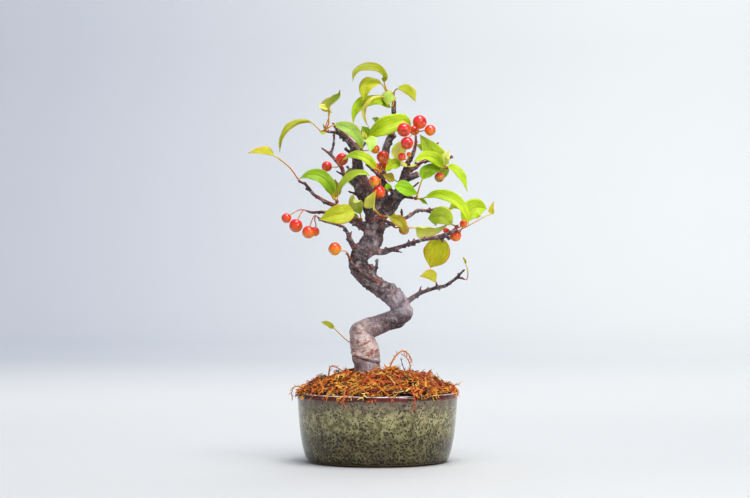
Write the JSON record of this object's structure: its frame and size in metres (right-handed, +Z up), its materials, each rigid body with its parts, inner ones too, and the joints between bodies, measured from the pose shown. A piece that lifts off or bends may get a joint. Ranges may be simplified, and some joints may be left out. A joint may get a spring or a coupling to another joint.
{
  "type": "crabapple bonsai",
  "caption": "Small crabapple bonsai with a crooked trunk, yellow-green leaves and glossy red-orange fruits, standing in a low round glazed pot topped with orange moss.",
  "frame": {"origin": "centre of the pot's flat underside", "axes": "+Z up, +X to the right and +Y to the back seen from the tree's front"},
  "size_m": [0.1638, 0.1149, 0.2696],
  "materials": {
    "glaze": "gloss",
    "screen": "matte",
    "soil": "matte",
    "moss": "matte",
    "bark": "matte",
    "leaf": "satin",
    "fruit": "gloss"
  },
  "bodies": {
    "root": {"pot": "glaze", "drain_screen_left": "screen", "drain_screen_right": "screen", "soil": "soil", "moss": "moss", "wood": "bark", "leaves_crown": "leaf", "leaves_tip_west": "leaf", "leaves_upper": "leaf", "leaves_cross": "leaf", "leaves_west": "leaf", "leaf_far_west": "leaf", "leaf_broad_west": "leaf", "leaf_folded_west": "leaf", "leaves_front": "leaf", "leaf_front_east": "leaf", "leaves_bend_east": "leaf", "leaf_long_east": "leaf", "leaf_round_east": "leaf", "leaf_low_branch": "leaf", "leaf_low_tip": "leaf", "leaf_trunk": "leaf", "leaves_bud_east": "leaf", "leaves_far_east": "leaf", "leaves_inner": "leaf", "leaf_inner_low": "leaf", "leaf_inner_small": "leaf", "leaves_rear_low": "leaf", "leaves_rear_low_side": "leaf", "leaves_rear_mid": "leaf", "leaves_rear_mid_side": "leaf", "leaves_rear_east": "leaf", "leaves_rear_east_side": "leaf", "leaves_rear_top": "leaf", "leaves_rear_west": "leaf", "leaves_rear_branch": "leaf", "fruit_west_end": "fruit", "fruit_west_hook": "fruit", "fruit_waist": "fruit", "fruit_fork": "fruit", "fruit_heart": "fruit", "fruit_heart_low": "fruit", "fruit_upper": "fruit", "fruit_leader": "fruit", "fruit_far_east": "fruit", "fruit_middle": "fruit", "fruit_bend_east": "fruit", "fruit_bud_red": "fruit", "fruit_inner": "fruit"}
  },
  "joints": []
}
